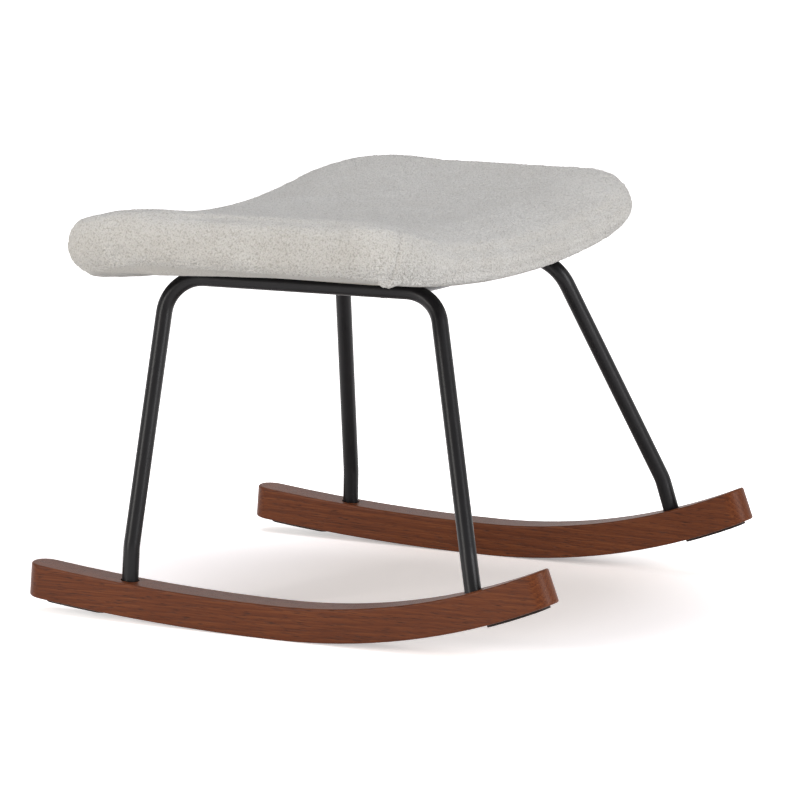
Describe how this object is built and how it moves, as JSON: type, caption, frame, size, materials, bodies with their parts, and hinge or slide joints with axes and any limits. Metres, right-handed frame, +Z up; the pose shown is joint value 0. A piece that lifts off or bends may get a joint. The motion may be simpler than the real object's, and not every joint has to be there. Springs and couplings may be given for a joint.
{
  "type": "rocking footstool",
  "caption": "Footstool that rocks: a dished seat in looped-pile fabric on bent black tube legs with curved wooden rockers.",
  "frame": {"origin": "on the floor, midway between the ends of the rockers and midway between the two rockers", "axes": "+X to the rear, along the rockers; +Y to the right side; +Z up"},
  "size_m": [0.5628, 0.569, 0.4036],
  "materials": {
    "stained_ash": "walnut-stained ash under a thin satin lacquer",
    "black_steel": "satin black powder coat",
    "felt": "dark grey pressed felt",
    "zinc_steel": "bright zinc plate",
    "plywood": "raw moulded birch plywood",
    "foam": "open-cell upholstery foam",
    "boucle": "off-white looped-pile wool blend",
    "lining": "pale grey spunbonded cloth"
  },
  "bodies": {
    "root": {"felt_strip_front_left": "felt", "felt_strip_front_right": "felt", "felt_strip_rear_left": "felt", "felt_strip_rear_right": "felt", "front_cross_tube": "black_steel", "leg_plugs": "zinc_steel", "leg_screws": "zinc_steel", "leg_washers": "zinc_steel", "rear_cross_tube": "black_steel", "rocker_left": "stained_ash", "rocker_right": "stained_ash", "seat_board": "plywood", "seat_cover": "boucle", "seat_foam": "foam", "seat_screws": "zinc_steel", "seat_tab_front_left": "black_steel", "seat_tab_front_right": "black_steel", "seat_tab_rear_left": "black_steel", "seat_tab_rear_right": "black_steel", "seat_washers": "zinc_steel", "side_frame_left": "black_steel", "side_frame_right": "black_steel", "tee_nuts": "zinc_steel", "underside_lining": "lining"}
  },
  "joints": []
}
